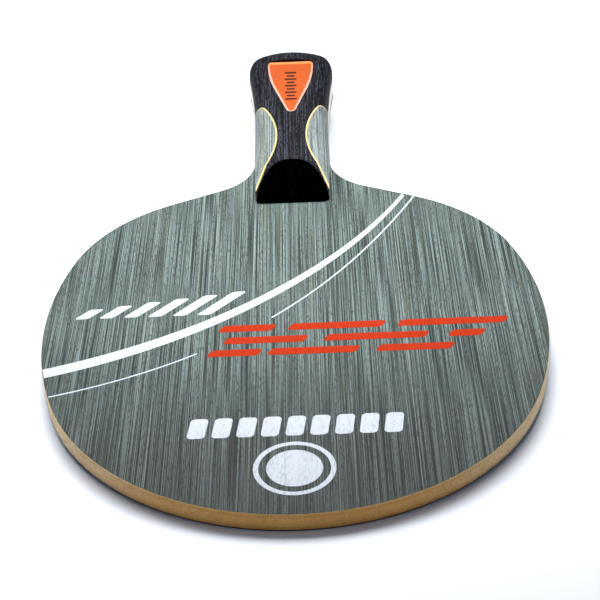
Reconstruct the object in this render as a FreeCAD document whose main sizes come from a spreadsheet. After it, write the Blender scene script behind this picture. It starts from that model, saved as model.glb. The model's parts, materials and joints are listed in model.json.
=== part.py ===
"""A bare shakehand table tennis blade with a flared handle, as a parametric FreeCAD document.

Five wood plies make the blade and run through the handle as its tang.  A laminated scale is glued
to each side of the tang: a dark spine, two light cheeks and the pale liners between them, with a
badge let into the front spine.

Everything is modelled in the blade's own axes: +Y from the head's tip to the butt of the handle,
+X to the side, and the blade's middle plane at Z = 0.  One placement then lays the whole paddle on
a table, resting on the head's tip and on whichever of the back scale's two high places, the top
of its nose ramp or its butt, stands out further below the line from the tip.
"""
import FreeCAD, Part
import math
import os
import Sketcher
from FreeCAD import Vector

DRIVING_SIZES = {
    # the whole paddle
    "head_length": 157.0,
    "handle_length": 100.0,
    "head_width": 150.0,
    # the head's outline
    "tip_fullness": 0.967,
    "widest_before_nose": 69.0,
    "flank_radius": 123.0,
    "shoulder_radius": 57.0,
    "shoulder_slope": 26.6,
    "neck_radius": 20.0,
    "neck_run": 28.0,
    # the plies
    "core_ply": 2.8,
    "inner_ply": 0.9,
    "outer_ply": 0.5,
    "edge_round": 0.3,
    # the grip's outline
    "grip_width": 26.2,
    "nose_width": 24.6,
    "nose_round": 2.5,
    "waist_before_butt": 52.0,
    "flare_radius": 365.0,
    "butt_corner": 6.5,
    "butt_arch": 70.0,
    # the scales
    "crown_at_waist": 7.4,
    "crown_at_butt": 9.3,
    "crown_radius": 48.0,
    "side_round": 6.0,
    "butt_round": 2.0,
    "ramp_length": 17.0,
    "nose_lip": 0.6,
    "seat_depth": 0.1,
    "seat_clearance": 0.1,
    # the cheeks and liners
    "liner": 0.6,
    "spine_waist": 9.9,
    "cheek_waist_after_nose": 35.0,
    "cheek_reach": 60.3,
    "cheek_hollow": 58.0,
    "cheek_end": 4.0,
    "cheek_lean": 19.5,
    # the badge
    "badge_width": 17.0,
    "badge_length": 39.9,
    "badge_before_butt": 7.4,
    "badge_side_radius": 78.0,
    "badge_corner": 1.2,
    "badge_tip": 1.6,
    "badge_taper": 14.4,
    "badge_thickness": 1.8,
    "badge_bevel": 0.6,
    "badge_sunk_at_tip": 0.1,
    "badge_sunk_at_end": 0.65,
    "badge_gap": 0.12,
    "adhesive": 0.3,
}

HALF_BLADE = "(dims.core_ply / 2 + dims.inner_ply + dims.outer_ply)"
SEAT_LEVEL = "(" + HALF_BLADE + " - dims.seat_depth)"
HALF_HEAD = "(dims.head_width / 2)"
HALF_GRIP = "(dims.grip_width / 2)"
OVERALL = "(dims.head_length + dims.handle_length)"
WAIST_STATION = "(" + OVERALL + " - dims.waist_before_butt)"
NECK_STATION = "(dims.head_length + dims.neck_run)"
REST_TILT = ("atan(max(dims.crown_at_waist / (dims.head_length + dims.ramp_length); "
             "dims.crown_at_butt / (" + OVERALL + " - dims.butt_round)))")
# Reaches of the shapes that only cut: higher and wider than the handle, and a little past its ends.
TALL = 15.0
WIDE = 60.0
BEYOND = 6.0
# The least upright wall left under a scale's rounded side.
SIDE_WALL = 0.3
# The crown's section in the neck, as a share of the way from the nose to the waist.
NECK_SHARE = 7 / 12
# Levels closer than this are one level, and edges this close to the butt belong to it.
SAME_LEVEL = 0.001
NEAR_BUTT = 0.5
# The scale's top edge lies further than this above the core ply's thickness.
TOP_EDGE_CLEAR = 2.0

doc = FreeCAD.newDocument("paddle")
sheet = doc.addObject("Spreadsheet::Sheet", "dims")
for row, (alias, number) in enumerate(DRIVING_SIZES.items(), start=1):
    sheet.set("A%d" % row, alias)
    sheet.set("B%d" % row, str(number))
    sheet.setAlias("B%d" % row, alias)
doc.recompute()
size = {alias: float(getattr(sheet, alias)) for alias in DRIVING_SIZES}
overall_length = size["head_length"] + size["handle_length"]
pieces = []


def origin_plane(body, role):
    """Return one of a body's own origin planes, such as XY_Plane."""
    return next(feature for feature in body.Origin.OriginFeatures if feature.Role == role)


def on_circle(centre, radius, angle):
    """Return the point of a circle at an angle in radians."""
    return Vector(centre.x + radius * math.cos(angle), centre.y + radius * math.sin(angle), 0)


class Edge:
    """One edge of a drawing: its number in the sketch and the names of its two ends."""

    def __init__(self, number, first, last):
        self.number = number
        self.first = (number, first)
        self.last = (number, last)
        self.centre = (number, 3)


class Drawing:
    """A sketch on a body's origin plane, whose edges are drawn end to end."""

    ORIGIN = (-1, 1)
    MIDDLE_LINE = -2

    def __init__(self, body, name, role="XY_Plane", lift=None):
        self.sketch = body.newObject("Sketcher::SketchObject", name)
        self.sketch.AttachmentSupport = [(origin_plane(body, role), "")]
        self.sketch.MapMode = "FlatFace"
        for axis, amount in (lift or {}).items():
            self.sketch.setExpression("AttachmentOffset." + axis, amount)

    def line(self, start, end):
        return Edge(self.sketch.addGeometry(Part.LineSegment(start, end), False), 1, 2)

    def arc(self, centre, radius, start, end):
        """Draw an arc from one angle to another, either way round."""
        circle = Part.Circle(centre, Vector(0, 0, 1), radius)
        curve = Part.ArcOfCircle(circle, min(start, end), max(start, end))
        ends = (1, 2) if end > start else (2, 1)
        return Edge(self.sketch.addGeometry(curve, False), *ends)

    def rule(self, kind, *parts):
        """Add a constraint without a size."""
        flat = [entry for part in parts for entry in (part if isinstance(part, tuple) else (part,))]
        return self.sketch.addConstraint(Sketcher.Constraint(kind, *flat))

    def flow(self, *edges):
        """Join edges end to end, each one smoothly into the next."""
        for before, after in zip(edges, edges[1:]):
            self.rule("Tangent", before.last, after.first)

    def meet(self, before, after):
        """Join the end of one edge to the start of another."""
        self.rule("Coincident", before.last, after.first)

    def bind(self, index, expression):
        self.sketch.setExpression("Constraints[%d]" % index, expression)

    def across(self, point, expression):
        """Set how far a point lies from the middle line."""
        now = self.sketch.getPoint(*point).x
        rule = Sketcher.Constraint("DistanceX", *self.ORIGIN, *point, now)
        self.bind(self.sketch.addConstraint(rule), expression)

    def along(self, point, expression):
        """Set how far a point lies along the sketch's second axis."""
        now = self.sketch.getPoint(*point).y
        rule = Sketcher.Constraint("DistanceY", *self.ORIGIN, *point, now)
        self.bind(self.sketch.addConstraint(rule), expression)

    def radius(self, edge, expression):
        now = self.sketch.Geometry[edge.number].Radius
        rule = Sketcher.Constraint("Radius", edge.number, now)
        self.bind(self.sketch.addConstraint(rule), expression)

    def angle(self, edge, now, expression):
        """Set an edge's direction."""
        rule = Sketcher.Constraint("Angle", edge.number, now)
        self.bind(self.sketch.addConstraint(rule), expression)

    def centred(self, point):
        """Put a point on the middle line."""
        self.rule("PointOnObject", point, self.MIDDLE_LINE)


def new_body(name):
    return doc.addObject("PartDesign::Body", name)


def raise_pad(body, drawing, expression, name):
    """Pad a sketch by a bound height."""
    pad = body.newObject("PartDesign::Pad", name)
    pad.Profile = drawing.sketch
    pad.Length = 1.0
    pad.setExpression("Length", expression)
    drawing.sketch.Visibility = False
    return pad


def mirror_across(body, feature, name):
    """Complete a half solid with its mirror image on the other side of the middle line."""
    mirrored = body.newObject("PartDesign::Mirrored", name)
    mirrored.Originals = [feature]
    mirrored.MirrorPlane = (origin_plane(body, "YZ_Plane"), [""])
    body.Tip = mirrored
    return mirrored


def lay_down(piece):
    """Turn a piece from the blade's axes into the resting pose and bind that to the sheet."""
    piece.Placement = FreeCAD.Placement(Vector(), FreeCAD.Rotation(Vector(1, 0, 0), 2.0))
    piece.setExpression("Placement.Rotation.Angle", REST_TILT)
    piece.setExpression("Placement.Base.y", "-" + OVERALL + " / 2 * cos(" + REST_TILT + ")")
    piece.setExpression("Placement.Base.z", HALF_BLADE + " * cos(" + REST_TILT + ")")


def keep(piece, label):
    """Make an object one of the paddle's sub-parts."""
    piece.Label = label
    lay_down(piece)
    pieces.append(piece)


# ---- the outline of the grip's butt, shared by the plies and the scales


def draw_butt(drawing):
    """Draw the grip from the neck to the middle of the butt, and return its first and last edge."""
    half_grip = size["grip_width"] / 2
    flare = size["flare_radius"]
    corner = size["butt_corner"]
    arch = size["butt_arch"]
    waist = overall_length - size["waist_before_butt"]
    flare_centre = Vector(half_grip + flare, waist, 0)
    arch_centre = Vector(0, overall_length - arch, 0)
    between = arch_centre - flare_centre
    reach = between.Length
    to_flare = flare + corner
    to_arch = arch - corner
    along = (to_flare ** 2 - to_arch ** 2 + reach ** 2) / (2 * reach)
    aside = math.sqrt(to_flare ** 2 - along ** 2)
    unit = between / reach
    corner_centre = flare_centre + unit * along + Vector(unit.y, -unit.x, 0) * aside
    flare_turn = math.atan2(corner_centre.y - waist, flare_centre.x - corner_centre.x)
    arch_turn = math.atan2(corner_centre.y - arch_centre.y, corner_centre.x)

    side = drawing.line(Vector(half_grip, size["head_length"] + size["neck_run"], 0),
                        Vector(half_grip, waist, 0))
    flaring = drawing.arc(flare_centre, flare, math.pi, math.pi - flare_turn)
    turning = drawing.arc(corner_centre, corner, -flare_turn, arch_turn)
    ending = drawing.arc(arch_centre, arch, arch_turn, math.pi / 2)
    drawing.flow(side, flaring, turning, ending)
    drawing.rule("Vertical", side.number)
    drawing.across(side.first, HALF_GRIP)
    drawing.along(side.first, NECK_STATION)
    drawing.along(side.last, WAIST_STATION)
    drawing.radius(flaring, "dims.flare_radius")
    drawing.radius(turning, "dims.butt_corner")
    drawing.radius(ending, "dims.butt_arch")
    drawing.centred(ending.centre)
    drawing.centred(ending.last)
    drawing.along(ending.last, OVERALL)
    return side, ending


# ---- the plies


def draw_blade(body, name, lift):
    """Draw half of the blade's outline, from the head's tip to the middle of the butt."""
    half_head = size["head_width"] / 2
    tip = size["tip_fullness"] * half_head
    widest = size["head_length"] - size["widest_before_nose"]
    lower = (half_head ** 2 + widest ** 2 - 2 * widest * tip) / (2 * (half_head - tip))
    flank = size["flank_radius"]
    shoulder = size["shoulder_radius"]
    neck = size["neck_radius"]
    slope = math.radians(90 - size["shoulder_slope"])
    outward = Vector(math.cos(slope), math.sin(slope), 0)
    onward = Vector(-outward.y, outward.x, 0)

    tip_centre = Vector(0, tip, 0)
    lower_centre = Vector(half_head - lower, widest, 0)
    flank_centre = Vector(half_head - flank, widest, 0)
    neck_centre = Vector(size["grip_width"] / 2 + neck, size["head_length"] + size["neck_run"], 0)
    run_end = neck_centre - outward * neck
    inner_line = run_end - outward * shoulder
    foot = (flank_centre - inner_line).dot(onward)
    off_line = (flank_centre - inner_line).dot(outward)
    half_chord = math.sqrt((flank - shoulder) ** 2 - off_line ** 2)
    shoulder_centre = inner_line + onward * (foot - half_chord)
    run_start = shoulder_centre + outward * shoulder
    lower_turn = math.atan2(tip_centre.y - widest, tip_centre.x - lower_centre.x)
    flank_turn = math.atan2(shoulder_centre.y - widest, shoulder_centre.x - flank_centre.x)

    drawing = Drawing(body, name, lift=lift)
    tipping = drawing.arc(tip_centre, tip, -math.pi / 2, lower_turn)
    lower_flank = drawing.arc(lower_centre, lower, lower_turn, 0)
    upper_flank = drawing.arc(flank_centre, flank, 0, flank_turn)
    rounding = drawing.arc(shoulder_centre, shoulder, flank_turn, slope)
    run = drawing.line(run_start, run_end)
    necking = drawing.arc(neck_centre, neck, math.pi + slope, math.pi)
    side, ending = draw_butt(drawing)
    middle = drawing.line(Vector(0, overall_length, 0), Vector(0, 0, 0))

    drawing.flow(tipping, lower_flank, upper_flank, rounding, run, necking, side)
    drawing.meet(ending, middle)
    drawing.meet(middle, tipping)
    drawing.rule("Coincident", tipping.first, Drawing.ORIGIN)
    drawing.centred(tipping.centre)
    drawing.radius(tipping, "dims.tip_fullness * " + HALF_HEAD)
    drawing.across(lower_flank.last, HALF_HEAD)
    drawing.along(lower_flank.last, "dims.head_length - dims.widest_before_nose")
    drawing.rule("Horizontal", lower_flank.centre, lower_flank.last)
    drawing.radius(upper_flank, "dims.flank_radius")
    drawing.radius(rounding, "dims.shoulder_radius")
    drawing.radius(necking, "dims.neck_radius")
    drawing.angle(run, slope + math.pi / 2, "180 deg - dims.shoulder_slope * 1 deg")
    return drawing


def make_ply(label, bottom, thickness):
    """Make one ply of the blade; its tang is part of it."""
    body = new_body(label)
    outline = draw_blade(body, label + "_outline", {"Base.z": bottom})
    half = raise_pad(body, outline, thickness, label + "_half")
    mirror_across(body, half, label + "_whole")
    return body


def round_edge(body, outward):
    """Round the outer ply's face edge; the rounding runs on smoothly all round the outline."""
    doc.recompute()
    face_level = max(outward * vertex.Z for vertex in body.Shape.Vertexes)
    on_face = [number for number, edge in enumerate(body.Shape.Edges, start=1)
               if all(abs(outward * vertex.Z - face_level) < SAME_LEVEL for vertex in edge.Vertexes)]
    whole = body.Tip
    rounding = body.newObject("PartDesign::Fillet", body.Name + "_edge")
    rounding.Base = (whole, ["Edge%d" % on_face[0]])
    rounding.Radius = size["edge_round"]
    rounding.setExpression("Radius", "dims.edge_round")
    body.Tip = rounding


def sand_seat(body, outward):
    """Sand a shallow seat for the scale into the outer ply's tang."""
    near = size["head_length"] - size["seat_clearance"]
    half_seat = max(size["grip_width"], size["nose_width"]) / 2 + size["seat_clearance"]
    neck = size["head_length"] + size["neck_run"]
    far = overall_length + BEYOND
    corners = [Vector(-half_seat, near, 0), Vector(half_seat, near, 0), Vector(half_seat, neck, 0),
               Vector(WIDE, neck, 0), Vector(WIDE, far, 0), Vector(-WIDE, far, 0),
               Vector(-WIDE, neck, 0), Vector(-half_seat, neck, 0)]
    level = SEAT_LEVEL if outward > 0 else "-" + SEAT_LEVEL
    drawing = Drawing(body, body.Name + "_seat", lift={"Base.z": level})
    edges = [drawing.line(a, b) for a, b in zip(corners, corners[1:] + corners[:1])]
    for before, after in zip(edges, edges[1:] + edges[:1]):
        drawing.meet(before, after)
    for number, edge in enumerate(edges):
        drawing.rule("Vertical" if number % 2 else "Horizontal", edge.number)
    half_seat_size = "max(dims.grip_width; dims.nose_width) / 2 + dims.seat_clearance"
    drawing.across(edges[0].last, half_seat_size)
    drawing.across(edges[0].first, "-(" + half_seat_size + ")")
    drawing.along(edges[0].last, "dims.head_length - dims.seat_clearance")
    drawing.along(edges[1].last, NECK_STATION)
    drawing.along(edges[3].last, OVERALL + " + %g" % BEYOND)
    drawing.across(edges[3].last, "%g" % WIDE)
    drawing.across(edges[4].last, "-%g" % WIDE)
    drawing.along(edges[6].first, NECK_STATION)
    seat = body.newObject("PartDesign::Pocket", body.Name + "_seating")
    seat.Profile = drawing.sketch
    seat.Type = "Length"
    seat.Length = 1.0
    seat.setExpression("Length", "dims.seat_depth + 1")
    seat.Reversed = outward > 0
    body.Tip = seat


def make_plies():
    """Make the five plies, from the core outwards."""
    keep(make_ply("core_ply", "-dims.core_ply / 2", "dims.core_ply"), "core_ply")
    inner = "dims.core_ply / 2"
    outer = "(dims.core_ply / 2 + dims.inner_ply)"
    keep(make_ply("front_inner_ply", inner, "dims.inner_ply"), "front_inner_ply")
    keep(make_ply("back_inner_ply", "-(" + outer + ")", "dims.inner_ply"), "back_inner_ply")
    front = make_ply("front_outer_ply", outer, "dims.outer_ply")
    back = make_ply("back_outer_ply", "-" + HALF_BLADE, "dims.outer_ply")
    for ply, outward in ((front, 1), (back, -1)):
        round_edge(ply, outward)
        doc.recompute()
        volume = ply.Shape.Volume
        sand_seat(ply, outward)
        doc.recompute()
        if not ply.Shape.Volume < volume:
            raise RuntimeError(ply.Label + ": the seat took nothing away")
        keep(ply, ply.Label)


# ---- the scales' outer shape


def draw_scale_plan(body, name, lift):
    """Draw half of a scale seen from above, from the middle of the nose to the middle of the butt."""
    nose = size["head_length"]
    round_off = size["nose_round"]
    centre = Vector(size["nose_width"] / 2 - round_off, nose + round_off, 0)
    neck = Vector(size["grip_width"] / 2, nose + size["neck_run"], 0)
    to_neck = neck - centre
    turn = math.atan2(to_neck.y, to_neck.x) - math.acos(round_off / to_neck.Length)

    drawing = Drawing(body, name, lift=lift)
    front = drawing.line(Vector(0, nose, 0), Vector(centre.x, nose, 0))
    corner = drawing.arc(centre, round_off, -math.pi / 2, turn)
    flank = drawing.line(on_circle(centre, round_off, turn), neck)
    side, ending = draw_butt(drawing)
    middle = drawing.line(Vector(0, overall_length, 0), Vector(0, nose, 0))
    drawing.flow(front, corner, flank)
    drawing.meet(flank, side)
    drawing.meet(ending, middle)
    drawing.meet(middle, front)
    drawing.centred(front.first)
    drawing.along(front.first, "dims.head_length")
    drawing.rule("Horizontal", front.number)
    drawing.radius(corner, "dims.nose_round")
    drawing.across(corner.centre, "dims.nose_width / 2 - dims.nose_round")
    return drawing


def draw_crown(body, name, station, half_width, height):
    """Draw the scale's rounded cross-section at a station along the grip."""
    side_round, side_round_text = rounding_at(half_width, height)
    crown = size["crown_radius"]
    half = half_width[0]
    top = height[0]
    crown_centre = Vector(0, top - crown, 0)
    rise = math.sqrt((crown - side_round) ** 2 - (half - side_round) ** 2)
    right = Vector(half - side_round, crown_centre.y + rise, 0)
    left = Vector(-right.x, right.y, 0)
    turn = math.atan2(rise, right.x)

    drawing = Drawing(body, name, "XZ_Plane", {"Base.z": "-(" + station + ")", "Base.y": SEAT_LEVEL})
    bottom = drawing.line(Vector(-half, 0, 0), Vector(half, 0, 0))
    right_side = drawing.line(Vector(half, 0, 0), Vector(half, right.y, 0))
    right_round = drawing.arc(right, side_round, 0, turn)
    top_round = drawing.arc(crown_centre, crown, turn, math.pi - turn)
    left_round = drawing.arc(left, side_round, math.pi - turn, math.pi)
    left_side = drawing.line(Vector(-half, left.y, 0), Vector(-half, 0, 0))
    drawing.meet(bottom, right_side)
    drawing.flow(right_side, right_round, top_round, left_round, left_side)
    drawing.meet(left_side, bottom)
    drawing.rule("Horizontal", bottom.number)
    drawing.rule("Vertical", right_side.number)
    drawing.rule("Vertical", left_side.number)
    drawing.rule("PointOnObject", bottom.first, -1)
    drawing.across(bottom.last, half_width[1])
    drawing.across(bottom.first, "-(" + half_width[1] + ")")
    drawing.radius(right_round, side_round_text)
    drawing.radius(left_round, side_round_text)
    drawing.radius(top_round, "dims.crown_radius")
    drawing.along(top_round.centre, height[1] + " - dims.crown_radius")
    return drawing


def past_waist(share, more=0.0):
    """Return a distance past the waist as a share of the flare's length, and some more."""
    number = share * size["waist_before_butt"] + more
    return number, "(dims.waist_before_butt * %g + %g)" % (share, more)


def grip_at(past):
    """Return the grip's half width at a distance past the waist, as a number and an expression."""
    flare = size["flare_radius"]
    number = size["grip_width"] / 2 + flare - math.sqrt(flare ** 2 - past[0] ** 2)
    return number, HALF_GRIP + " + dims.flare_radius - sqrt(dims.flare_radius ^ 2 - %s ^ 2)" % past[1]


def crown_at(past):
    """Return the scale's height over its seat at a distance past the waist, both ways."""
    swell = size["crown_at_butt"] - size["crown_at_waist"]
    number = size["crown_at_waist"] + swell * (past[0] / size["waist_before_butt"]) ** 2
    return number + size["seat_depth"], crown_height(past[1]) + " + dims.seat_depth"


def rounding_at(half_width, height):
    """Return the rounding of a scale's side, held to what leaves a low upright wall under it."""
    crown = size["crown_radius"]
    room = (crown ** 2 - half_width[0] ** 2 - (crown + SIDE_WALL - height[0]) ** 2) / (
        2 * (crown - half_width[0]))
    room_text = ("(dims.crown_radius ^ 2 - (%s) ^ 2 - (dims.crown_radius + %g - (%s)) ^ 2)"
                 " / (2 * (dims.crown_radius - (%s)))")
    room_text %= (half_width[1], SIDE_WALL, height[1], half_width[1])
    return min(size["side_round"], room), "min(dims.side_round; " + room_text + ")"


def crown_height(past):
    """Return the expression for the scale's height over the blade's face past the waist."""
    swell = "(dims.crown_at_butt - dims.crown_at_waist)"
    return "(dims.crown_at_waist + %s * (%s / dims.waist_before_butt) ^ 2)" % (swell, past)


def boolean(kind, name, base, tool):
    """Combine two objects with Part::Cut or Part::Common."""
    result = doc.addObject("Part::" + kind, name)
    result.Base = base
    result.Tool = tool
    return result


def make_plan():
    """Make a prism of the scale's plan, tall enough to be carved."""
    body = new_body("scale_plan")
    drawing = draw_scale_plan(body, "scale_plan_outline", {"Base.z": SEAT_LEVEL})
    half = raise_pad(body, drawing, "%g" % TALL, "scale_plan_half")
    mirror_across(body, half, "scale_plan_whole")
    return body


def make_crown():
    """Loft the carved top of the scale through its sections from nose to butt."""
    body = new_body("scale_crown")
    to_waist = "(dims.handle_length - dims.waist_before_butt)"
    neck = "dims.head_length + %g * %s" % (NECK_SHARE, to_waist)
    stations = [("dims.head_length - %g" % BEYOND, past_waist(0)), (neck, past_waist(0))]
    for past in (past_waist(0), past_waist(0.5), past_waist(1, 2 * BEYOND)):
        stations.append((WAIST_STATION + " + " + past[1], past))
    sections = [draw_crown(body, "crown_%d" % number, station, grip_at(past), crown_at(past)).sketch
                for number, (station, past) in enumerate(stations)]
    doc.recompute()
    loft = body.newObject("PartDesign::AdditiveLoft", "scale_crown_loft")
    loft.Profile = sections[0]
    loft.Sections = sections[1:]
    body.Tip = loft
    return body


def make_ramp():
    """Make the wedge that is carved off the nose, from a small lip up to the crown."""
    body = new_body("nose_ramp")
    drawing = Drawing(body, "nose_ramp_side", "YZ_Plane", {"Base.y": SEAT_LEVEL})
    nose = size["head_length"]
    lip = size["nose_lip"] + size["seat_depth"]
    top = size["crown_at_waist"] + size["seat_depth"]
    slope = (top - lip) / size["ramp_length"]
    ahead = Vector(nose - BEYOND, lip - BEYOND * slope, 0)
    behind = Vector(nose + (TALL - lip) / slope, TALL, 0)
    corner = Vector(nose - BEYOND, TALL, 0)
    ramp = drawing.line(ahead, behind)
    roof = drawing.line(behind, corner)
    front = drawing.line(corner, ahead)
    for before, after in ((ramp, roof), (roof, front), (front, ramp)):
        drawing.meet(before, after)
    drawing.rule("Horizontal", roof.number)
    drawing.rule("Vertical", front.number)
    lip_level = "(dims.nose_lip + dims.seat_depth)"
    ramp_slope = "((dims.crown_at_waist - dims.nose_lip) / dims.ramp_length)"
    drawing.along(ramp.first, "%s - %g * %s" % (lip_level, BEYOND, ramp_slope))
    drawing.across(ramp.first, "dims.head_length - %g" % BEYOND)
    drawing.along(ramp.last, "%g" % TALL)
    drawing.across(ramp.last, "dims.head_length + (%g - %s) / %s" % (TALL, lip_level, ramp_slope))
    wedge = raise_pad(body, drawing, "%g" % (2 * WIDE), "nose_ramp_wedge")
    wedge.Midplane = True
    return body


def round_butt(blank):
    """Round the scale's top edge at the butt."""
    doc.recompute()
    far = overall_length - size["butt_corner"] - NEAR_BUTT
    names = [number for number, edge in enumerate(blank.Shape.Edges, start=1)
             if min(vertex.Y for vertex in edge.Vertexes) > far
             and min(vertex.Z for vertex in edge.Vertexes) > size["core_ply"] + TOP_EDGE_CLEAR]
    rounding = doc.addObject("Part::Fillet", "scale_blank")
    rounding.Base = blank
    rounding.Edges = [(number, size["butt_round"], size["butt_round"]) for number in names]
    return rounding


# ---- the cheeks and liners


def draw_cheek(body, name, level, inset="0"):
    """Draw the region of one cheek seen from above, held in from the spine's edge by an inset."""
    step = size.get(inset.replace("dims.", ""), 0)
    near = size["head_length"] - BEYOND
    far = size["head_length"] + size["cheek_reach"] - step
    hollow = size["cheek_hollow"] - step
    end = size["cheek_end"] - step
    outside = WIDE / 2
    hollow_centre = Vector(size["spine_waist"] / 2 + size["cheek_hollow"],
                           size["head_length"] + size["cheek_waist_after_nose"], 0)
    rise = far - end - hollow_centre.y
    end_centre = Vector(hollow_centre.x - math.sqrt((hollow - end) ** 2 - rise ** 2), far - end, 0)
    lean = math.radians(90 + size["cheek_lean"])
    straight_turn = lean + math.pi / 2
    end_turn = math.atan2(rise, end_centre.x - hollow_centre.x)
    straight_end = on_circle(hollow_centre, hollow, straight_turn)
    run = (straight_end.y - near) / math.sin(lean)
    straight_start = straight_end - Vector(math.cos(lean), math.sin(lean), 0) * run

    drawing = Drawing(body, name, lift={"Base.z": level})
    straight = drawing.line(straight_start, straight_end)
    bulge = drawing.arc(hollow_centre, hollow, straight_turn, end_turn)
    tip = drawing.arc(end_centre, end, end_turn, math.pi / 2)
    top = drawing.line(Vector(end_centre.x, far, 0), Vector(outside, far, 0))
    side = drawing.line(Vector(outside, far, 0), Vector(outside, near, 0))
    bottom = drawing.line(Vector(outside, near, 0), straight_start)
    drawing.flow(straight, bulge, tip, top)
    for before, after in ((top, side), (side, bottom), (bottom, straight)):
        drawing.meet(before, after)
    drawing.rule("Horizontal", top.number)
    drawing.rule("Vertical", side.number)
    drawing.rule("Horizontal", bottom.number)
    drawing.radius(bulge, "dims.cheek_hollow - " + inset)
    drawing.radius(tip, "dims.cheek_end - " + inset)
    drawing.across(bulge.centre, "dims.spine_waist / 2 + dims.cheek_hollow")
    drawing.along(bulge.centre, "dims.head_length + dims.cheek_waist_after_nose")
    drawing.along(top.first, "dims.head_length + dims.cheek_reach - " + inset)
    drawing.along(side.last, "dims.head_length - %g" % BEYOND)
    drawing.across(side.last, "%g" % outside)
    drawing.angle(straight, lean, "90 deg + dims.cheek_lean * 1 deg")
    return drawing


def make_cheek_region(name, level, inset="0"):
    """Make the prism that one cheek, or the cheek with its liner, is carved from."""
    body = new_body(name)
    drawing = draw_cheek(body, name + "_outline", level, inset)
    body.Tip = raise_pad(body, drawing, "%g" % TALL, name + "_prism")
    return body


# ---- the badge


def draw_badge(body, name, gap="0"):
    """Draw half of the badge's outline on its sloping bed, from its far edge to its tip."""
    step = size.get(gap.replace("dims.", ""), 0)
    half = size["badge_width"] / 2 + step
    far = size["badge_length"] + step
    corner = size["badge_corner"] + step
    tip = size["badge_tip"] + step
    side_radius = size["badge_side_radius"] + step
    taper = math.radians(size["badge_taper"])
    corner_centre = Vector(half - corner, far - corner, 0)
    tip_centre = Vector(0, size["badge_tip"], 0)
    outward = Vector(math.cos(taper), -math.sin(taper), 0)
    straight_start = tip_centre + outward * tip
    off_line = tip - side_radius
    side_base = tip_centre + outward * off_line
    onward = Vector(-outward.y, outward.x, 0)
    foot = (corner_centre - side_base).dot(onward)
    aside = (corner_centre - side_base).dot(outward)
    back = math.sqrt((side_radius - corner) ** 2 - aside ** 2)
    side_centre = side_base + onward * (foot - back)
    to_corner = corner_centre - side_centre
    corner_turn = math.atan2(to_corner.y, to_corner.x)

    drawing = Drawing(body, name)
    end = drawing.line(Vector(0, far, 0), Vector(corner_centre.x, far, 0))
    cornering = drawing.arc(corner_centre, corner, math.pi / 2, corner_turn)
    bowed = drawing.arc(side_centre, side_radius, corner_turn, -taper)
    straight = drawing.line(side_centre + outward * side_radius, straight_start)
    tipping = drawing.arc(tip_centre, tip, -taper, -math.pi / 2)
    middle = drawing.line(Vector(0, tip_centre.y - tip, 0), Vector(0, far, 0))
    drawing.flow(end, cornering, bowed, straight, tipping)
    drawing.meet(tipping, middle)
    drawing.meet(middle, end)
    drawing.centred(end.first)
    drawing.rule("Horizontal", end.number)
    drawing.along(end.first, "dims.badge_length + " + gap)
    drawing.radius(cornering, "dims.badge_corner + " + gap)
    drawing.across(cornering.centre, "dims.badge_width / 2 - dims.badge_corner")
    drawing.radius(bowed, "dims.badge_side_radius + " + gap)
    drawing.angle(straight, -math.pi / 2 - taper, "-90 deg - dims.badge_taper * 1 deg")
    drawing.radius(tipping, "dims.badge_tip + " + gap)
    drawing.centred(tipping.centre)
    drawing.along(tipping.centre, "dims.badge_tip")
    drawing.centred(tipping.last)
    return drawing


TO_BADGE_END = "(dims.waist_before_butt - dims.badge_before_butt)"
TO_BADGE_TIP = "(" + TO_BADGE_END + " - dims.badge_length)"


def set_on_bed(drawing, depth):
    """Lay a sketch on the badge's sloping bed, a depth below the badge's top."""
    tip_level = crown_height(TO_BADGE_TIP) + " - dims.badge_sunk_at_tip"
    end_level = crown_height(TO_BADGE_END) + " - dims.badge_sunk_at_end"
    slope = "atan((%s - (%s)) / dims.badge_length)" % (end_level, tip_level)
    sketch = drawing.sketch
    sketch.AttachmentOffset = FreeCAD.Placement(Vector(), FreeCAD.Rotation(Vector(1, 0, 0), 1.0))
    sketch.setExpression("AttachmentOffset.Rotation.Angle", slope)
    sketch.setExpression("AttachmentOffset.Base.y", WAIST_STATION + " + " + TO_BADGE_TIP)
    level = "%s + %s - (%s)" % (HALF_BLADE, tip_level, depth)
    sketch.setExpression("AttachmentOffset.Base.z", level)


def make_badge_layer(name, depth, thickness, gap="0"):
    """Make one flat layer of the badge's outline on its bed."""
    body = new_body(name)
    drawing = draw_badge(body, name + "_outline", gap)
    set_on_bed(drawing, depth)
    half = raise_pad(body, drawing, thickness, name + "_half")
    mirror_across(body, half, name + "_whole")
    return body


def bevel_badge(body):
    """Bevel the badge's top edge all round."""
    doc.recompute()
    plate = body.Tip
    top = max(plate.Shape.Faces, key=lambda face: face.CenterOfMass.z)
    names = ["Edge%d" % number for number, edge in enumerate(plate.Shape.Edges, start=1)
             if any(edge.isSame(rim) for rim in top.Edges)]
    bevel = body.newObject("PartDesign::Chamfer", "badge_bevel")
    bevel.Base = (plate, names)
    bevel.Size = size["badge_bevel"]
    bevel.setExpression("Size", "dims.badge_bevel")
    body.Tip = bevel


# ---- the pieces of each scale


def mirror_object(source, name, normal):
    """Mirror an object in one of the blade's own middle planes."""
    mirror = doc.addObject("Part::Mirroring", name)
    mirror.Source = source
    mirror.Normal = normal
    return mirror


def make_scale(face, blank, regions, cheeks):
    """Divide a scale's carved blank into its spine, two liners and two cheeks."""
    spine = blank
    for side in ("left", "right"):
        label = face + "_" + side
        share = boolean("Common", label + "_share", blank, regions[side])
        keep(boolean("Common", label + "_cheek", blank, cheeks[side]), label + "_cheek")
        keep(boolean("Cut", label + "_liner", share, cheeks[side]), label + "_liner")
        spine = boolean("Cut", face + "_spine_" + side, spine, regions[side])
    keep(spine, face + "_spine")


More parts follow.
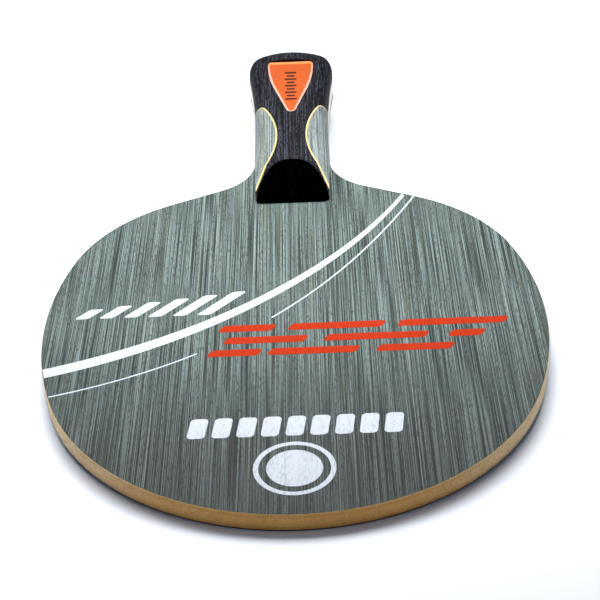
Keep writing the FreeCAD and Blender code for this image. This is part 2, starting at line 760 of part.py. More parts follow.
def make_scales_and_badge():
    """Make the front and back scales, and the badge in the front one."""
    crowned = boolean("Common", "scale_crowned", make_plan(), make_crown())
    blank = round_butt(boolean("Cut", "scale_ramped", crowned, make_ramp()))
    layers = "dims.badge_thickness + dims.adhesive"
    recess = make_badge_layer("badge_recess", layers, "%g" % TALL, "dims.badge_gap")
    badge = make_badge_layer("badge", "dims.badge_thickness", "dims.badge_thickness")
    bevel_badge(badge)
    across = Vector(1, 0, 0)
    through = Vector(0, 0, 1)
    region = make_cheek_region("cheek_region", SEAT_LEVEL)
    cheek = make_cheek_region("cheek_core", SEAT_LEVEL + " + dims.liner", "dims.liner")
    regions = {"right": region, "left": mirror_object(region, "cheek_region_left", across)}
    cheeks = {"right": cheek, "left": mirror_object(cheek, "cheek_core_left", across)}
    make_scale("front", boolean("Cut", "front_blank", blank, recess), regions, cheeks)
    back_blank = mirror_object(blank, "back_scale_blank", through)
    back_regions = {side: mirror_object(region, "back_region_" + side, through)
                    for side, region in regions.items()}
    back_cheeks = {side: mirror_object(cheek, "back_core_" + side, through)
                   for side, cheek in cheeks.items()}
    make_scale("back", back_blank, back_regions, back_cheeks)
    keep(make_badge_layer("badge_adhesive", layers, "dims.adhesive"), "badge_adhesive")
    keep(badge, "badge")


def check_and_write():
    """Check every object of the document, then write each piece to its own file."""
    doc.recompute()
    for item in doc.Objects:
        if "Invalid" in item.State or "Error" in item.State:
            raise RuntimeError("%s: %s" % (item.Name, item.getStatusString()))
    for piece in pieces:
        if piece.Shape.isNull() or not piece.Shape.isValid() or not piece.Shape.Solids:
            raise RuntimeError(piece.Label + ": its shape is not sound")
    os.makedirs("parts", exist_ok=True)
    for piece in pieces:
        piece.Shape.exportStep("parts/" + piece.Label + ".step")
        print("%-20s %9.1f mm3" % (piece.Label, piece.Shape.Volume))


make_plies()
make_scales_and_badge()
check_and_write()
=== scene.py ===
import json
import math

import bmesh
import bpy
from mathutils import Matrix, Vector
from mathutils.bvhtree import BVHTree


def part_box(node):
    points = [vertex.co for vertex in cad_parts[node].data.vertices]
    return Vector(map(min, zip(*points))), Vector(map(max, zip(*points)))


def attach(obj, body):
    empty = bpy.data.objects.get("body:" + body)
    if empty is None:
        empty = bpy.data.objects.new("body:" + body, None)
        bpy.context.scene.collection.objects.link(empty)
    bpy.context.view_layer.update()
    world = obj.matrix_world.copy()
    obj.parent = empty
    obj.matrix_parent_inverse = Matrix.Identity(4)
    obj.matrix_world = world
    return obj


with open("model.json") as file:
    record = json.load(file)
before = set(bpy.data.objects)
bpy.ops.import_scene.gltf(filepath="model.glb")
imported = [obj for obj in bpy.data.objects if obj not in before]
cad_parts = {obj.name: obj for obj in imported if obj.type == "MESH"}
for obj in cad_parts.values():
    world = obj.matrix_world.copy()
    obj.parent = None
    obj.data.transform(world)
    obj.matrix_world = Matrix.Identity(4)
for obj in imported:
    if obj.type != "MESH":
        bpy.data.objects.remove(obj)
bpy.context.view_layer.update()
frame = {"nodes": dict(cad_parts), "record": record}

MM = 0.001


# ---- the blade's own axes: across, along from the head's tip, and up from the front face

face = next(mount for mount in frame["record"]["mounts"] if mount["name"] == "front_rubber_face")
UP = Vector(face["axis"]).normalized()
ACROSS = Vector((1, 0, 0))
ALONG = UP.cross(ACROSS)
FACE_MOUNT_FROM_TIP = 78
TIP = Vector(face["pos_m"]) - ALONG * FACE_MOUNT_FROM_TIP * MM
BLADE_TILT = math.atan2(ALONG.z, ALONG.y)
HEAD_LENGTH = 157
NOSE_RAMP = 17.0
badge_low, badge_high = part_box("badge")
BADGE_TIP, BADGE_END = ((corner - TIP).dot(ALONG) / MM for corner in (badge_low, badge_high))


def placed(x, y, z=0.0):
    """Return the row-frame point for millimetres across, along and above the blade's face."""
    return TIP + (ACROSS * x + ALONG * y + UP * z) * MM


def surface_of(node):
    """Return a CAD node's surface, to drop points on."""
    mesh = frame["nodes"][node].data
    return BVHTree.FromPolygons([v.co.copy() for v in mesh.vertices],
                                [tuple(p.vertices) for p in mesh.polygons])


def height_on(surface, x, y):
    """Return how high a surface lies over the blade's face, or None beside it or on a steep side."""
    well_above = 30
    steep = 0.5
    hit, normal, _, _ = surface.ray_cast(placed(x, y, well_above), -UP)
    if hit is None or normal.dot(UP) < steep:
        return None
    return (hit - TIP).dot(UP) / MM


# ---- materials


def display(red, green, blue):
    """Return the linear colour of a 0-255 display colour."""
    def linear(value):
        value /= 255
        return value / 12.92 if value <= 0.04045 else ((value + 0.055) / 1.055) ** 2.4
    return linear(red), linear(green), linear(blue), 1


class Finish:
    """A node material, laid out in millimetres along the blade's own axes."""

    def __init__(self, name, **constants):
        self.material = bpy.data.materials.new(name)
        self.material.use_nodes = True
        self.tree = self.material.node_tree
        self.shader = self.tree.nodes["Principled BSDF"]
        for socket, value in constants.items():
            self.shader.inputs[socket.replace("_", " ")].default_value = value
        source = self.add("ShaderNodeTexCoord")
        self.place = self.turned(source.outputs["Object"], "TEXTURE", TIP, MM)
        self.facing = self.turned(source.outputs["Normal"], "TEXTURE", Vector(), 1)

    def add(self, kind, **settings):
        """Add a node of a kind to the material."""
        node = self.tree.nodes.new(kind)
        for name, value in settings.items():
            setattr(node, name, value)
        return node

    def feed(self, value, socket):
        """Link a value's socket to another, or set the other to a plain value."""
        if isinstance(value, bpy.types.NodeSocket):
            self.tree.links.new(value, socket)
        else:
            socket.default_value = value

    def turned(self, vector, kind, location, scale):
        """Measure a vector along the blade's axes."""
        node = self.add("ShaderNodeMapping", vector_type=kind)
        self.feed(vector, node.inputs["Vector"])
        node.inputs["Location"].default_value = location
        node.inputs["Rotation"].default_value = (BLADE_TILT, 0, 0)
        node.inputs["Scale"].default_value = (scale, scale, scale)
        return node.outputs["Vector"]

    def part(self, vector, axis):
        """Return one axis of a vector: 0 across, 1 along, 2 up."""
        node = self.add("ShaderNodeSeparateXYZ")
        self.feed(vector, node.inputs[0])
        return node.outputs[axis]

    def calc(self, operation, first, second=0.0, third=0.0):
        """Return the result of a math operation on up to three values."""
        node = self.add("ShaderNodeMath", operation=operation)
        for value, socket in zip((first, second, third), node.inputs):
            self.feed(value, socket)
        return node.outputs[0]

    def noise(self, size, detail=2.0, roughness=0.5, shift=0.0):
        """Return smooth noise whose grains have a size in millimetres across, along and through."""
        stretch = self.add("ShaderNodeMapping", vector_type="POINT")
        self.feed(self.place, stretch.inputs["Vector"])
        stretch.inputs["Location"].default_value = (shift, shift, shift)
        stretch.inputs["Scale"].default_value = [1 / s for s in size]
        node = self.add("ShaderNodeTexNoise", noise_dimensions="3D")
        self.feed(stretch.outputs["Vector"], node.inputs["Vector"])
        node.inputs["Scale"].default_value = 1
        node.inputs["Detail"].default_value = detail
        node.inputs["Roughness"].default_value = roughness
        return node.outputs["Fac"]

    def step(self, value, start, end, low=0.0, high=1.0):
        """Ease a value from low to high as it passes from start to end."""
        node = self.add("ShaderNodeMapRange", interpolation_type="SMOOTHSTEP")
        for number, socket in ((value, 0), (start, 1), (end, 2), (low, 3), (high, 4)):
            self.feed(number, node.inputs[socket])
        return node.outputs[0]

    def mix(self, share, first, second, blend="MIX"):
        """Return the first colour with a share of the second mixed in."""
        node = self.add("ShaderNodeMix", data_type="RGBA", blend_type=blend)
        self.feed(share, node.inputs[0])
        self.feed(first, node.inputs[6])
        self.feed(second, node.inputs[7])
        return node.outputs[2]

    def finish(self, colour, roughness, relief=None, depth=0.05):
        """Wire the shader: colour, roughness, and a relief of that depth in millimetres."""
        self.feed(colour, self.shader.inputs["Base Color"])
        self.feed(roughness, self.shader.inputs["Roughness"])
        if relief is not None:
            bump = self.add("ShaderNodeBump")
            bump.inputs["Strength"].default_value = 1
            bump.inputs["Distance"].default_value = depth * MM
            self.feed(relief, bump.inputs["Height"])
            self.feed(bump.outputs[0], self.shader.inputs["Normal"])
        return self.material


def streaks(finish, grain, contrast, lines=0.5):
    """Return long wood grain from 0 dark to 1 pale: fine straight fibres, streaks and broad bands."""
    broad = (1 - lines) / 2
    layers = (  # width and length in grains, detail, shift, weight
        (1, 300, 0, 0.0, 0.75 * lines),
        (1.7, 400, 0, 1.7, 0.25 * lines),
        (5, 900, 1, 3.1, 0.7 * broad),
        (22, 1400, 1, 7.7, 0.6 * broad),
    )
    total = 0.0
    for width, length, detail, shift, weight in layers:
        layer = finish.noise((width * grain, length * grain, width * grain), detail, shift=shift)
        total = finish.calc("MULTIPLY_ADD", layer, weight, total)
    half = 0.17 / contrast
    return finish.step(total, 0.5 - half, 0.5 + half)


def pores(finish, width, length, share):
    """Return a mask of short open pores in narrow bands, more of them for a larger share."""
    cell = finish.noise((width, length, width), 0, shift=11.3)
    crowd = finish.noise((5 * width, 22 * length, 5 * width), 2, shift=5.9)
    level = finish.calc("MULTIPLY_ADD", crowd, 0.7, cell)
    edge = 1.12 - 0.5 * share
    return finish.step(level, edge, edge + 0.08)


def rim(finish, flat=0.97, steep=0.75):
    """Return a mask of where the surface turns away from the blade's face, up or down."""
    upright = finish.calc("ABSOLUTE", finish.part(finish.facing, 2))
    return finish.step(upright, steep, flat, 1.0, 0.0)


def edge_wood(finish, pale, end):
    """Return the colour of a sanded edge: pale along the grain, darker across it, cream on the grip,
    partly pale wood and partly a painted highlight of the light on the tang's sides.
    """
    grained = streaks(finish, 0.35, 0.8)
    across = finish.calc("ABSOLUTE", finish.part(finish.facing, 1))
    base = finish.mix(finish.step(across, 0.55, 1.0), pale, end)
    # Cream on the grip: partly pale wood, partly a painted highlight of the light on the tang's sides.
    pale_grip_and_highlight = finish.step(finish.part(finish.place, 1), HEAD_LENGTH, HEAD_LENGTH + 18, 0.0, 0.9)
    base = finish.mix(pale_grip_and_highlight, base, display(255, 253, 244))
    dark = finish.mix(1.0, base, display(226, 214, 198), "MULTIPLY")
    return finish.mix(grained, dark, base)


# Painted shade: the veneer's colour is darkened toward the head's tip, where less light falls; darkest
# and clear of it here, along the blade.
SHADE_DARKEST, SHADE_CLEAR = 0.0, 98.0


def veneer_finish(name, edge_colours):
    """Dyed face veneer: grey-green fibres, olive pores, painted shade toward the head's tip, and undyed
    wood on the sanded edge.
    """
    finish = Finish(name, Specular_IOR_Level=0.12)
    tone = streaks(finish, 0.17, 1.8, 0.90)
    colour = finish.mix(tone, display(26, 37, 36), display(105, 121, 119))
    thread = finish.noise((0.2, 400, 0.2), 0, shift=8.3)
    colour = finish.mix(finish.step(thread, 0.70, 0.80, 0.0, 0.6), colour, display(150, 160, 150))
    tint = finish.noise((1.6, 120, 1.6), shift=2.2)
    colour = finish.mix(finish.step(tint, 0.50, 0.72, 0.0, 0.3), colour, display(72, 78, 58))
    pore = pores(finish, 0.24, 2.0, 0.34)
    colour = finish.mix(finish.calc("MULTIPLY", pore, 0.6), colour, display(40, 40, 22))
    # Painted shade: darken the colour toward the head's tip, where less light falls.
    along = finish.part(finish.place, 1)
    painted_shade = finish.step(along, SHADE_DARKEST, SHADE_CLEAR, 0.45, 1.0)
    shade_tint = finish.add("ShaderNodeCombineColor")
    for channel in shade_tint.inputs:
        finish.feed(painted_shade, channel)
    colour = finish.mix(1.0, colour, shade_tint.outputs[0], "MULTIPLY")
    colour = finish.mix(rim(finish), colour, edge_wood(finish, *edge_colours))
    rough = finish.step(tone, 0, 1, 0.56, 0.44)
    relief = finish.calc("SUBTRACT", tone, pore)
    return finish.finish(colour, rough, relief, 0.015)


def ply_finish(name, pale, end):
    """A raw inner ply, seen only at the edge of the blade."""
    finish = Finish(name, Specular_IOR_Level=0.3)
    colour = edge_wood(finish, pale, end)
    pore = pores(finish, 0.3, 3.0, 0.18)
    colour = finish.mix(finish.calc("MULTIPLY", pore, 0.45), colour, display(120, 78, 40))
    rough = finish.step(pore, 0, 1, 0.6, 0.75)
    return finish.finish(colour, rough, finish.calc("SUBTRACT", 1.0, pore), 0.03)


def painted_recess_shade(finish):
    """Return a mask of painted shade: the wood in and just beyond the far end of the badge's recess,
    darkened where the recess's far wall is in shadow.
    """
    across = finish.calc("ABSOLUTE", finish.part(finish.place, 0))
    along = finish.part(finish.place, 1)
    above = finish.part(finish.place, 2)
    mask = finish.step(across, 7.6, 8.4, 1.0, 0.0)
    for value, start, end in ((along, BADGE_END - 1.4, BADGE_END - 0.9),
                              (along, BADGE_END + 1.1, BADGE_END + 0.6),
                              (above, 0.0, 1.0)):
        mask = finish.calc("MULTIPLY", mask, finish.step(value, start, end))
    return mask


def spine_finish():
    """Charcoal-dyed handle wood with short black pores."""
    finish = Finish("charcoal_wood", Specular_IOR_Level=0.04)
    tone = streaks(finish, 0.22, 1.8, 0.8)
    colour = finish.mix(tone, display(14, 15, 19), display(54, 56, 66))
    pore = pores(finish, 0.36, 1.8, 0.50)
    colour = finish.mix(finish.calc("MULTIPLY", pore, 0.9), colour, display(4, 4, 7))
    # Painted shade in and just beyond the far end of the badge's recess.
    colour = finish.mix(painted_recess_shade(finish), colour, display(14, 2, 1))
    rough = finish.step(tone, 0, 1, 0.6, 0.5)
    return finish.finish(colour, rough, finish.calc("SUBTRACT", tone, pore), 0.03)


def cheek_finish():
    """The grey-green wood of the cheeks, paler than the face's veneer: partly the wood's own tone,
    partly a painted sheen.
    """
    finish = Finish("cheek_wood", Specular_IOR_Level=0.1)
    tone = streaks(finish, 0.18, 1.4, 0.85)
    # Paler than the face's veneer: partly the wood's own tone, partly a painted sheen.
    colour = finish.mix(tone, display(76, 85, 85), display(143, 153, 152))
    tint = finish.noise((1.8, 60, 1.8), shift=4.4)
    colour = finish.mix(finish.step(tint, 0.50, 0.75, 0.0, 0.4), colour, display(150, 154, 132))
    pore = pores(finish, 0.25, 2.4, 0.36)
    colour = finish.mix(finish.calc("MULTIPLY", pore, 0.5), colour, display(62, 68, 62))
    rough = finish.step(tone, 0, 1, 0.6, 0.48)
    return finish.finish(colour, rough, finish.calc("SUBTRACT", tone, pore), 0.02)


def liner_finish():
    """Cream veneer between the cheeks and the spine."""
    finish = Finish("liner_wood", Specular_IOR_Level=0.1)
    tone = streaks(finish, 0.3, 1.0)
    colour = finish.mix(tone, display(176, 164, 110), display(202, 192, 142))
    pore = pores(finish, 0.25, 2.0, 0.12)
    colour = finish.mix(finish.calc("MULTIPLY", pore, 0.5), colour, display(150, 126, 74))
    return finish.finish(colour, finish.step(tone, 0, 1, 0.62, 0.5), tone, 0.02)


def badge_finish():
    """Orange moulded plastic. Its thin bevelled edge shows pale, partly the plastic's own pale edge and
    partly a painted reflection of the white surroundings; a paler band at its far end is a painted
    highlight.
    """
    finish = Finish("orange_plastic", Specular_IOR_Level=0.03)
    cloud = finish.noise((6, 6, 6), 3)
    colour = finish.mix(cloud, display(168, 68, 3), display(175, 73, 6))
    # Pale bevelled edge: partly the plastic's own pale edge, partly a painted reflection of the white
    # surroundings.
    colour = finish.mix(rim(finish, 0.97, 0.86), colour, display(236, 176, 156))
    along = finish.part(finish.place, 1)
    # Painted highlight: a paler band along the badge's far end.
    far_end_highlight = finish.step(along, BADGE_END - 3.0, BADGE_END - 2.2, 0.0, 0.75)
    colour = finish.mix(far_end_highlight, colour, display(226, 140, 84))
    scuff = finish.noise((0.6, 5, 0.6), 4, 0.7, shift=9.0)
    rough = finish.step(scuff, 0.4, 0.75, 0.26, 0.42)
    return finish.finish(colour, rough, finish.noise((0.5, 0.5, 0.5), 2), 0.006)


def film_finish():
    """The pale adhesive film under the badge."""
    finish = Finish("adhesive", Specular_IOR_Level=0.4)
    cloud = finish.noise((1.5, 1.5, 1.5), 3, 0.6)
    colour = finish.mix(cloud, display(214, 210, 198), display(232, 230, 220))
    return finish.finish(colour, finish.step(cloud, 0.3, 0.7, 0.4, 0.6), cloud, 0.02)


def ink_finish(name, ink, worn):
    """Printed ink over the veneer: the grain's pores show through it as fine specks."""
    finish = Finish(name, Specular_IOR_Level=0.03)
    fibre = finish.noise((0.25, 40, 0.25), 2, 0.6)
    faint = finish.mix(finish.step(fibre, 0.30, 0.5, 0.3, 0.0), ink, worn)
    pore = pores(finish, 0.25, 1.5, 0.40)
    colour = finish.mix(finish.calc("MULTIPLY", pore, 0.4), faint, worn)
    return finish.finish(colour, finish.step(fibre, 0.3, 0.7, 0.5, 0.38), fibre, 0.01)


def paint_finish():
    """Matt black paint on the nose of the handle, with the grain just showing."""
    finish = Finish("black_paint", Specular_IOR_Level=0.0)
    tone = streaks(finish, 0.5, 1.0)
    colour = finish.mix(tone, display(0, 0, 0), display(3, 3, 4))
    return finish.finish(colour, finish.step(tone, 0, 1, 0.95, 0.85), tone, 0.01)


TAN, TAN_END = display(228, 204, 160), display(222, 172, 98)
FINISHES = {
    "front_outer_ply": veneer_finish("front_veneer", (display(230, 206, 160), display(222, 176, 104))),
    "back_outer_ply": veneer_finish("back_veneer", (display(92, 62, 62), display(78, 52, 50))),
    "core_ply": ply_finish("core_wood", TAN, TAN_END),
    "inner_ply": ply_finish("inner_wood", display(222, 196, 150), display(212, 160, 88)),
    "spine": spine_finish(),
    "cheek": cheek_finish(),
    "liner": liner_finish(),
    "badge": badge_finish(),
    "badge_adhesive": film_finish(),
}


def finish_for(node):
    """Return the finish whose name matches the node's most closely."""
    return FINISHES[max((key for key in FINISHES if key in node), key=len)]


for node, part in frame["nodes"].items():
    part.data.materials.clear()
    part.data.materials.append(finish_for(node))


# ---- printed marks and paint, as thin layers over the wood

# A layer's top and underside over the surface, in millimetres.
INK_HEIGHT = 0.035
INK_FOOT = 0.004
face_surface = surface_of("front_outer_ply")
badge_surface = surface_of("badge")
WHITE_INK = ink_finish("white_ink", display(190, 196, 204), display(140, 148, 151))
RED_INK = ink_finish("red_ink", display(162, 38, 0), display(120, 34, 8))
DARK_INK = ink_finish("dark_ink", display(52, 22, 14), display(80, 34, 14))


def curve_point(points, share):
    """Return a point on the cubic curve with these four control points."""
    rest = 1 - share
    weights = (rest ** 3, 3 * rest ** 2 * share, 3 * rest * share ** 2, share ** 3)
    return tuple(sum(w * p[axis] for w, p in zip(weights, points)) for axis in (0, 1))


def curve(points):
    """Return close points along a curve, carried on a little beyond both of its ends."""
    steps = 400
    beyond = 0.06
    return [curve_point(points, n / steps * (1 + 2 * beyond) - beyond) for n in range(steps + 1)]


def on_surface(surface, points):
    """Keep the points of a line that lie over a surface."""
    return [p for p in points if height_on(surface, *p) is not None]


def resampled(points, count):
    """Return a number of evenly spaced points along a line."""
    lengths = [0.0]
    for a, b in zip(points, points[1:]):
        lengths.append(lengths[-1] + math.dist(a, b))
    result = []
    place = 0
    for n in range(count):
        want = lengths[-1] * n / (count - 1)
        while place < len(points) - 2 and lengths[place + 1] < want:
            place += 1
        share = (want - lengths[place]) / (lengths[place + 1] - lengths[place])
        result.append(tuple(a + (b - a) * share for a, b in zip(points[place], points[place + 1])))
    return result


def shell(name, columns, surface, ink, closed=False):
    """Make a thin closed layer over a surface from columns of plan points, side to side."""
    layer = bmesh.new()
    rows = []
    for column in columns:
        low, high = [], []
        for x, y in column:
            z = height_on(surface, x, y) or 0.0
            low.append(layer.verts.new(placed(x, y, z + INK_FOOT)))
            high.append(layer.verts.new(placed(x, y, z + INK_HEIGHT)))
        rows.append((low, high))
    pairs = list(zip(rows, rows[1:] + (rows[:1] if closed else [])))
    for (low_a, high_a), (low_b, high_b) in pairs:
        for n in range(len(low_a) - 1):
            layer.faces.new((high_a[n], high_a[n + 1], high_b[n + 1], high_b[n]))
            layer.faces.new((low_a[n], low_b[n], low_b[n + 1], low_a[n + 1]))
        layer.faces.new((low_a[0], high_a[0], high_b[0], low_b[0]))
        layer.faces.new((low_a[-1], low_b[-1], high_b[-1], high_a[-1]))
    if not closed:
        for low, high in (rows[0], rows[-1]):
            for n in range(len(low) - 1):
                layer.faces.new((low[n], low[n + 1], high[n + 1], high[n]))
    bmesh.ops.recalc_face_normals(layer, faces=layer.faces)
    return piece(name, layer, ink)


def linked(name, layer):
    """Turn a bmesh into an object of the scene."""
    mesh = bpy.data.meshes.new(name)
    layer.to_mesh(mesh)
    layer.free()
    made = bpy.data.objects.new(name, mesh)
    bpy.context.scene.collection.objects.link(made)
    return made


def piece(name, layer, finish):
    """Turn a bmesh into a named piece that rides on the paddle."""
    made = linked(name, layer)
    made.data.materials.append(finish)
    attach(made, "root")
    return made


def joined(name, parts):
    """Join pieces that share a finish into one."""
    bpy.ops.object.select_all(action="DESELECT")
    for part in parts:
        part.select_set(True)
    bpy.context.view_layer.objects.active = parts[0]
    bpy.ops.object.join()
    parts[0].name = parts[0].data.name = name
    return parts[0]


def rounded_bar(centre, length, width, lean, corner):
    """Return columns of a leaning bar with rounded corners: its ends lean, its sides are level."""
    steps = 28
    columns = []
    for n in range(steps + 1):
        x = -math.cos(math.pi * n / steps) * length / 2
        from_end = length / 2 - abs(x)
        inset = 0.0
        if from_end < corner:
            inset = corner - math.sqrt(corner ** 2 - (corner - from_end) ** 2)
        half = width / 2 - inset
        columns.append([(centre[0] + x + y * lean, centre[1] + y) for y in (-half, half)])
    return columns


def ring(centre, inner, outer):
    """Return columns of a flat ring, from its inner to its outer radius."""
    steps = 96
    columns = []
    for n in range(steps):
        turn = 2 * math.pi * n / steps
        out = (math.cos(turn), math.sin(turn))
        columns.append([(centre[0] + r * out[0], centre[1] + r * out[1]) for r in (inner, outer)])
    return columns


def bars(name, places, ink, surface=face_surface):
    """Make one piece of rounded bars, each given by its centre, length, width, lean and corner."""
    return joined(name, [shell("%s_%d" % (name, n), rounded_bar(*place), surface, ink)
                         for n, place in enumerate(places)])


# The wide stripe and the thin line below it run from the head's left side up to its right shoulder.
STRIPE_EDGES = (((-71.9, 67.1), (-25.0, 81.9), (12.9, 115.2), (35.1, 157.5)),
                ((-71.3, 62.8), (-25.2, 77.1), (12.8, 111.5), (34.8, 153.9)))
LINE = ((-69.8, 53.4), (-18.7, 68.2), (12.7, 101.3), (40.5, 158.5))
LINE_GAP = (-28.5, -7.0)
LINE_WIDTH = 0.54
BESIDE_HEAD = 100


def stripe():
    """Make the wide stripe between its two edge curves."""
    rails = [resampled(on_surface(face_surface, curve(edge)), 90) for edge in STRIPE_EDGES]
    return shell("stripe", list(zip(*rails)), face_surface, WHITE_INK)


def thin_line(name, start, end):
    """Make the part of the thin line that lies between two places across the blade."""
    wanted = [p for p in on_surface(face_surface, curve(LINE)) if start < p[0] < end]
    middle = resampled(wanted, 60)
    half = LINE_WIDTH / 2
    columns = []
    for n, (x, y) in enumerate(middle):
        before, after = middle[max(n - 1, 0)], middle[min(n + 1, len(middle) - 1)]
        run = math.dist(before, after)
        out = ((before[1] - after[1]) / run, (after[0] - before[0]) / run)
        columns.append([(x + out[0] * side, y + out[1] * side) for side in (-half, half)])
    return shell(name, columns, face_surface, WHITE_INK)


stripe()
joined("thin_line", [thin_line("line_left", -BESIDE_HEAD, LINE_GAP[0]),
                     thin_line("line_right", LINE_GAP[1], BESIDE_HEAD)])

# Slanted red bars in three tiers, each with its centre and length.
BAR_WIDTH, BAR_LEAN, BAR_CORNER = 3.3, 0.55, 1.1
RED_TIERS = [
    ((-17.5, 71.6), 15.0), ((5.5, 71.6), 26.0), ((35.0, 71.6), 22.0),
    ((-8.5, 77.8), 24.0), ((24.0, 77.8), 30.0), ((50.5, 77.8), 10.0),
    ((-14.0, 84.0), 16.0), ((12.5, 84.0), 28.0), ((47.0, 84.0), 32.0),
]
bars("red_bars", [(centre, length, BAR_WIDTH, BAR_LEAN, BAR_CORNER) for centre, length in RED_TIERS],
     RED_INK)

# Slanted white strokes above the stripe, each shorter than the one before.
STROKES = 6
FIRST_STROKE, STROKE_STEP = (-22.0, 98.0), (-8.0, -0.7)
FIRST_HEIGHT, HEIGHT_STEP = 12.0, -1.4
STROKE_LENGTH, STROKE_LEAN, STROKE_CORNER = 4.2, 0.9, 0.8
white_strokes = []
for stroke in range(STROKES):
    middle = tuple(start + step * stroke for start, step in zip(FIRST_STROKE, STROKE_STEP))
    white_strokes.append((middle, STROKE_LENGTH, FIRST_HEIGHT + HEIGHT_STEP * stroke,
                          STROKE_LEAN, STROKE_CORNER))
bars("white_blocks", white_strokes, WHITE_INK)

# A row of small slats across the head, and a disc in a ring nearer the tip.
SLATS, SLAT_STEP, SLATS_FROM_TIP = 9, 6.7, 36.5
SLAT_LENGTH, SLAT_WIDTH, SLAT_LEAN, SLAT_CORNER = 4.9, 8.6, 0.12, 1.3
bars("white_slats",
     [(((n - (SLATS - 1) / 2) * SLAT_STEP, SLATS_FROM_TIP),
       SLAT_LENGTH, SLAT_WIDTH, SLAT_LEAN, SLAT_CORNER) for n in range(SLATS)],
     WHITE_INK)
DISC, DISC_WIDTH = (-0.5, 18.5), 15.0
RING_INNER, RING_OUTER = 9.6, 11.0
joined("white_disc", [shell("disc", rounded_bar(DISC, DISC_WIDTH, DISC_WIDTH, 0, DISC_WIDTH / 2),
                            face_surface, WHITE_INK),
                      shell("disc_ring", ring(DISC, RING_INNER, RING_OUTER),
                            face_surface, WHITE_INK, closed=True)])

# Ruler-like ticks down the middle of the badge.
TICKS, TICK_STEP, LONG_TICK, SHORT_TICK = 9, 2.6, 4.4, 3.0
TICK_WIDTH, TICK_CORNER = 1.3, 0.5
FIRST_TICK = BADGE_TIP + 9.5
bars("badge_ticks",
     [((0.0, FIRST_TICK + TICK_STEP * n), SHORT_TICK if n % 2 else LONG_TICK,
       TICK_WIDTH, 0.0, TICK_CORNER) for n in range(TICKS)],
     DARK_INK, badge_surface)


PAINT = paint_finish()
# Points closer than this, in metres, are one point.
WELD = 1e-6


def nose_outline():
    """Return the outline of the painted nose: half a superellipse over the ramp of the handle."""
    half_width, steps = 12.25, 48
    across_power, along_power = 2.5, 1.5
    before_nose = HEAD_LENGTH - 3
    outline = [(-half_width, before_nose)]
    for n in range(steps + 1):
        turn = math.pi * n / steps
        x = -math.copysign(abs(math.cos(turn)) ** (2 / across_power), math.cos(turn)) * half_width
        outline.append((x, HEAD_LENGTH + abs(math.sin(turn)) ** (2 / along_power) * NOSE_RAMP))
    outline.append((half_width, before_nose))
    return outline


def nose_cutter():
    """Return an upright block of the nose's outline, through both scales."""
    outline = nose_outline()
    reach = 30
    block = bmesh.new()
    low, high = ([block.verts.new(placed(x, y, z)) for x, y in outline] for z in (-reach, reach))
    block.faces.new(low)
    block.faces.new(high)
    for n in range(len(outline)):
        after = (n + 1) % len(outline)
        block.faces.new((low[n], low[after], high[after], high[n]))
    bmesh.ops.recalc_face_normals(block, faces=block.faces)
    return linked("cutter", block)


def painted_nose(name, node, side):
    """Paint the ramp at the nose: the skin of the spine inside the nose's outline, a hair thicker."""
    wood = bmesh.new()
    wood.from_mesh(frame["nodes"][node].data)
    bmesh.ops.remove_doubles(wood, verts=wood.verts, dist=WELD)
    made = linked(name, wood)
    cutter = nose_cutter()
    common = made.modifiers.new("common", "BOOLEAN")
    common.operation = "INTERSECT"
    common.object = cutter
    common.solver = "EXACT"
    graph = bpy.context.evaluated_depsgraph_get()
    cut = bpy.data.meshes.new_from_object(made.evaluated_get(graph))
    bpy.data.objects.remove(made)
    bpy.data.objects.remove(cutter)

    skin = bmesh.new()
    skin.from_mesh(cut)
    original = surface_of(node)
    off_the_wood, turned_away, seated = 2e-5, 0.7, -0.9
    hidden = []
    for facet in skin.faces:
        _, normal, _, distance = original.find_nearest(facet.calc_center_median())
        if (distance > off_the_wood or normal.dot(facet.normal) < turned_away
                or facet.normal.dot(UP) * side < seated):
            hidden.append(facet)
    bmesh.ops.delete(skin, geom=hidden, context="FACES")
    bmesh.ops.remove_doubles(skin, verts=skin.verts, dist=WELD)
    skin.normal_update()
    for vertex in skin.verts:
        vertex.co += vertex.normal * INK_HEIGHT * MM
    result = piece(name, skin, PAINT)
    thick = result.modifiers.new("thickness", "SOLIDIFY")
    thick.thickness = (INK_HEIGHT - INK_FOOT) * MM
    thick.offset = -1
    return result


painted_nose("front_nose_paint", "front_spine", 1)
painted_nose("back_nose_paint", "back_spine", -1)


# ---- the studio

# The sky is a dim blue fill light, and white where the camera sees it.
FILL = 0.20
world = bpy.data.worlds.new("studio")
bpy.context.scene.world = world
world.use_nodes = True
sky = world.node_tree
fill = sky.nodes["Background"]
fill.inputs["Color"].default_value = (0.72, 0.83, 1.0, 1)
fill.inputs["Strength"].default_value = FILL
seen = sky.nodes.new("ShaderNodeBackground")
seen.inputs["Color"].default_value = (1, 1, 1, 1)
path = sky.nodes.new("ShaderNodeLightPath")
either = sky.nodes.new("ShaderNodeMixShader")
sky.links.new(path.outputs["Is Camera Ray"], either.inputs[0])
sky.links.new(fill.outputs[0], either.inputs[1])
sky.links.new(seen.outputs[0], either.inputs[2])
sky.links.new(either.outputs[0], sky.nodes["World Output"].inputs["Surface"])
bpy.context.scene.view_settings.view_transform = "Standard"
bpy.context.scene.view_settings.look = "None"


def floor_finish():
    """White floor. The lamps are small and near, so far from the paddle it glows for the camera."""
    finish = Finish("white_floor", Roughness=0.9, Specular_IOR_Level=0.1)
    finish.shader.inputs["Base Color"].default_value = (0.90, 0.93, 1.0, 1)
    distance = finish.add("ShaderNodeVectorMath", operation="LENGTH")
    finish.feed(finish.add("ShaderNodeTexCoord").outputs["Object"], distance.inputs[0])
    fade_start, fade_end = 0.19, 0.38
    far = finish.step(distance.outputs["Value"], fade_start, fade_end)
    looked_at = finish.add("ShaderNodeLightPath").outputs["Is Camera Ray"]
    finish.feed(finish.calc("MULTIPLY", far, looked_at), finish.shader.inputs["Emission Strength"])
    return finish.material


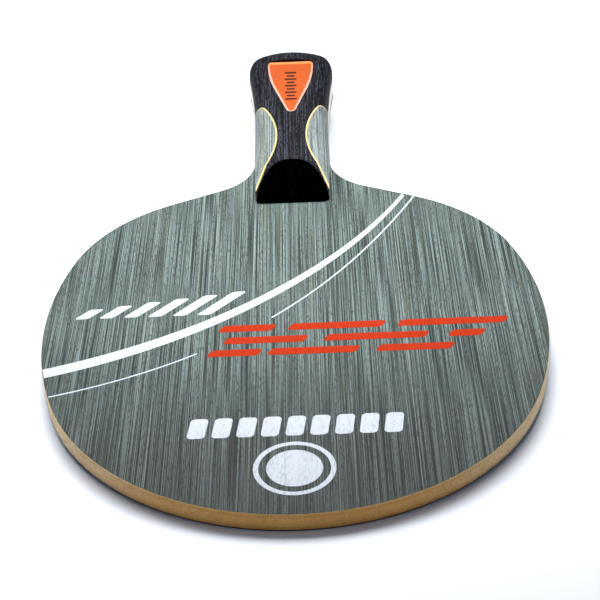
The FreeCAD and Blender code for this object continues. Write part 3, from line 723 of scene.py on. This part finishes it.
FLOOR = 5.0
floor_mesh = bpy.data.meshes.new("floor")
floor_corners = [(-FLOOR, -FLOOR, 0), (FLOOR, -FLOOR, 0), (FLOOR, FLOOR, 0), (-FLOOR, FLOOR, 0)]
floor_mesh.from_pydata(floor_corners, [], [(0, 1, 2, 3)])
floor_mesh.materials.append(floor_finish())
floor = bpy.data.objects.new("floor", floor_mesh)
bpy.context.scene.collection.objects.link(floor)


def softbox(name, place, target, width, depth, power):
    """Hang a soft rectangular lamp of a width and depth in metres, aimed at a target."""
    data = bpy.data.lights.new(name, "AREA")
    data.shape = "RECTANGLE"
    data.size, data.size_y = width, depth
    data.energy = power
    lamp = bpy.data.objects.new(name, data)
    lamp.location = place
    lamp.rotation_euler = (Vector(target) - Vector(place)).to_track_quat("-Z", "Y").to_euler()
    lamp.visible_camera = False
    bpy.context.scene.collection.objects.link(lamp)


softbox("overhead", (-0.02, 0.015, 0.19), (-0.02, 0.014, 0), 0.3, 0.12, 1.08)
softbox("back", (0.0, 0.58, 0.42), (0, 0.22, 0), 0.7, 0.3, 2.7)

# ---- the camera: its place and angles are measured along the blade's own axes

CAMERA_PLACE = (7.6, -311.6, 272.1)
CAMERA_HEADING, CAMERA_DIP, CAMERA_ROLL = (math.radians(a) for a in (-0.816, 33.584, -2.574))
CAMERA_LENS = 97.155
ahead = (ACROSS * math.sin(CAMERA_HEADING) * math.cos(CAMERA_DIP)
         + ALONG * math.cos(CAMERA_HEADING) * math.cos(CAMERA_DIP) - UP * math.sin(CAMERA_DIP))
level = ACROSS * math.cos(CAMERA_HEADING) - ALONG * math.sin(CAMERA_HEADING)
above = level.cross(ahead)
right = level * math.cos(CAMERA_ROLL) + above * math.sin(CAMERA_ROLL)
top = above * math.cos(CAMERA_ROLL) - level * math.sin(CAMERA_ROLL)
aimed = Matrix((right, top, -ahead)).transposed().to_4x4()
camera_data = bpy.data.cameras.new("camera")
camera_data.sensor_width = 36
camera_data.lens = CAMERA_LENS
camera_data.clip_start = 0.01
camera = bpy.data.objects.new("camera", camera_data)
camera.matrix_world = Matrix.Translation(placed(*CAMERA_PLACE)) @ aimed
bpy.context.scene.collection.objects.link(camera)
bpy.context.scene.camera = camera
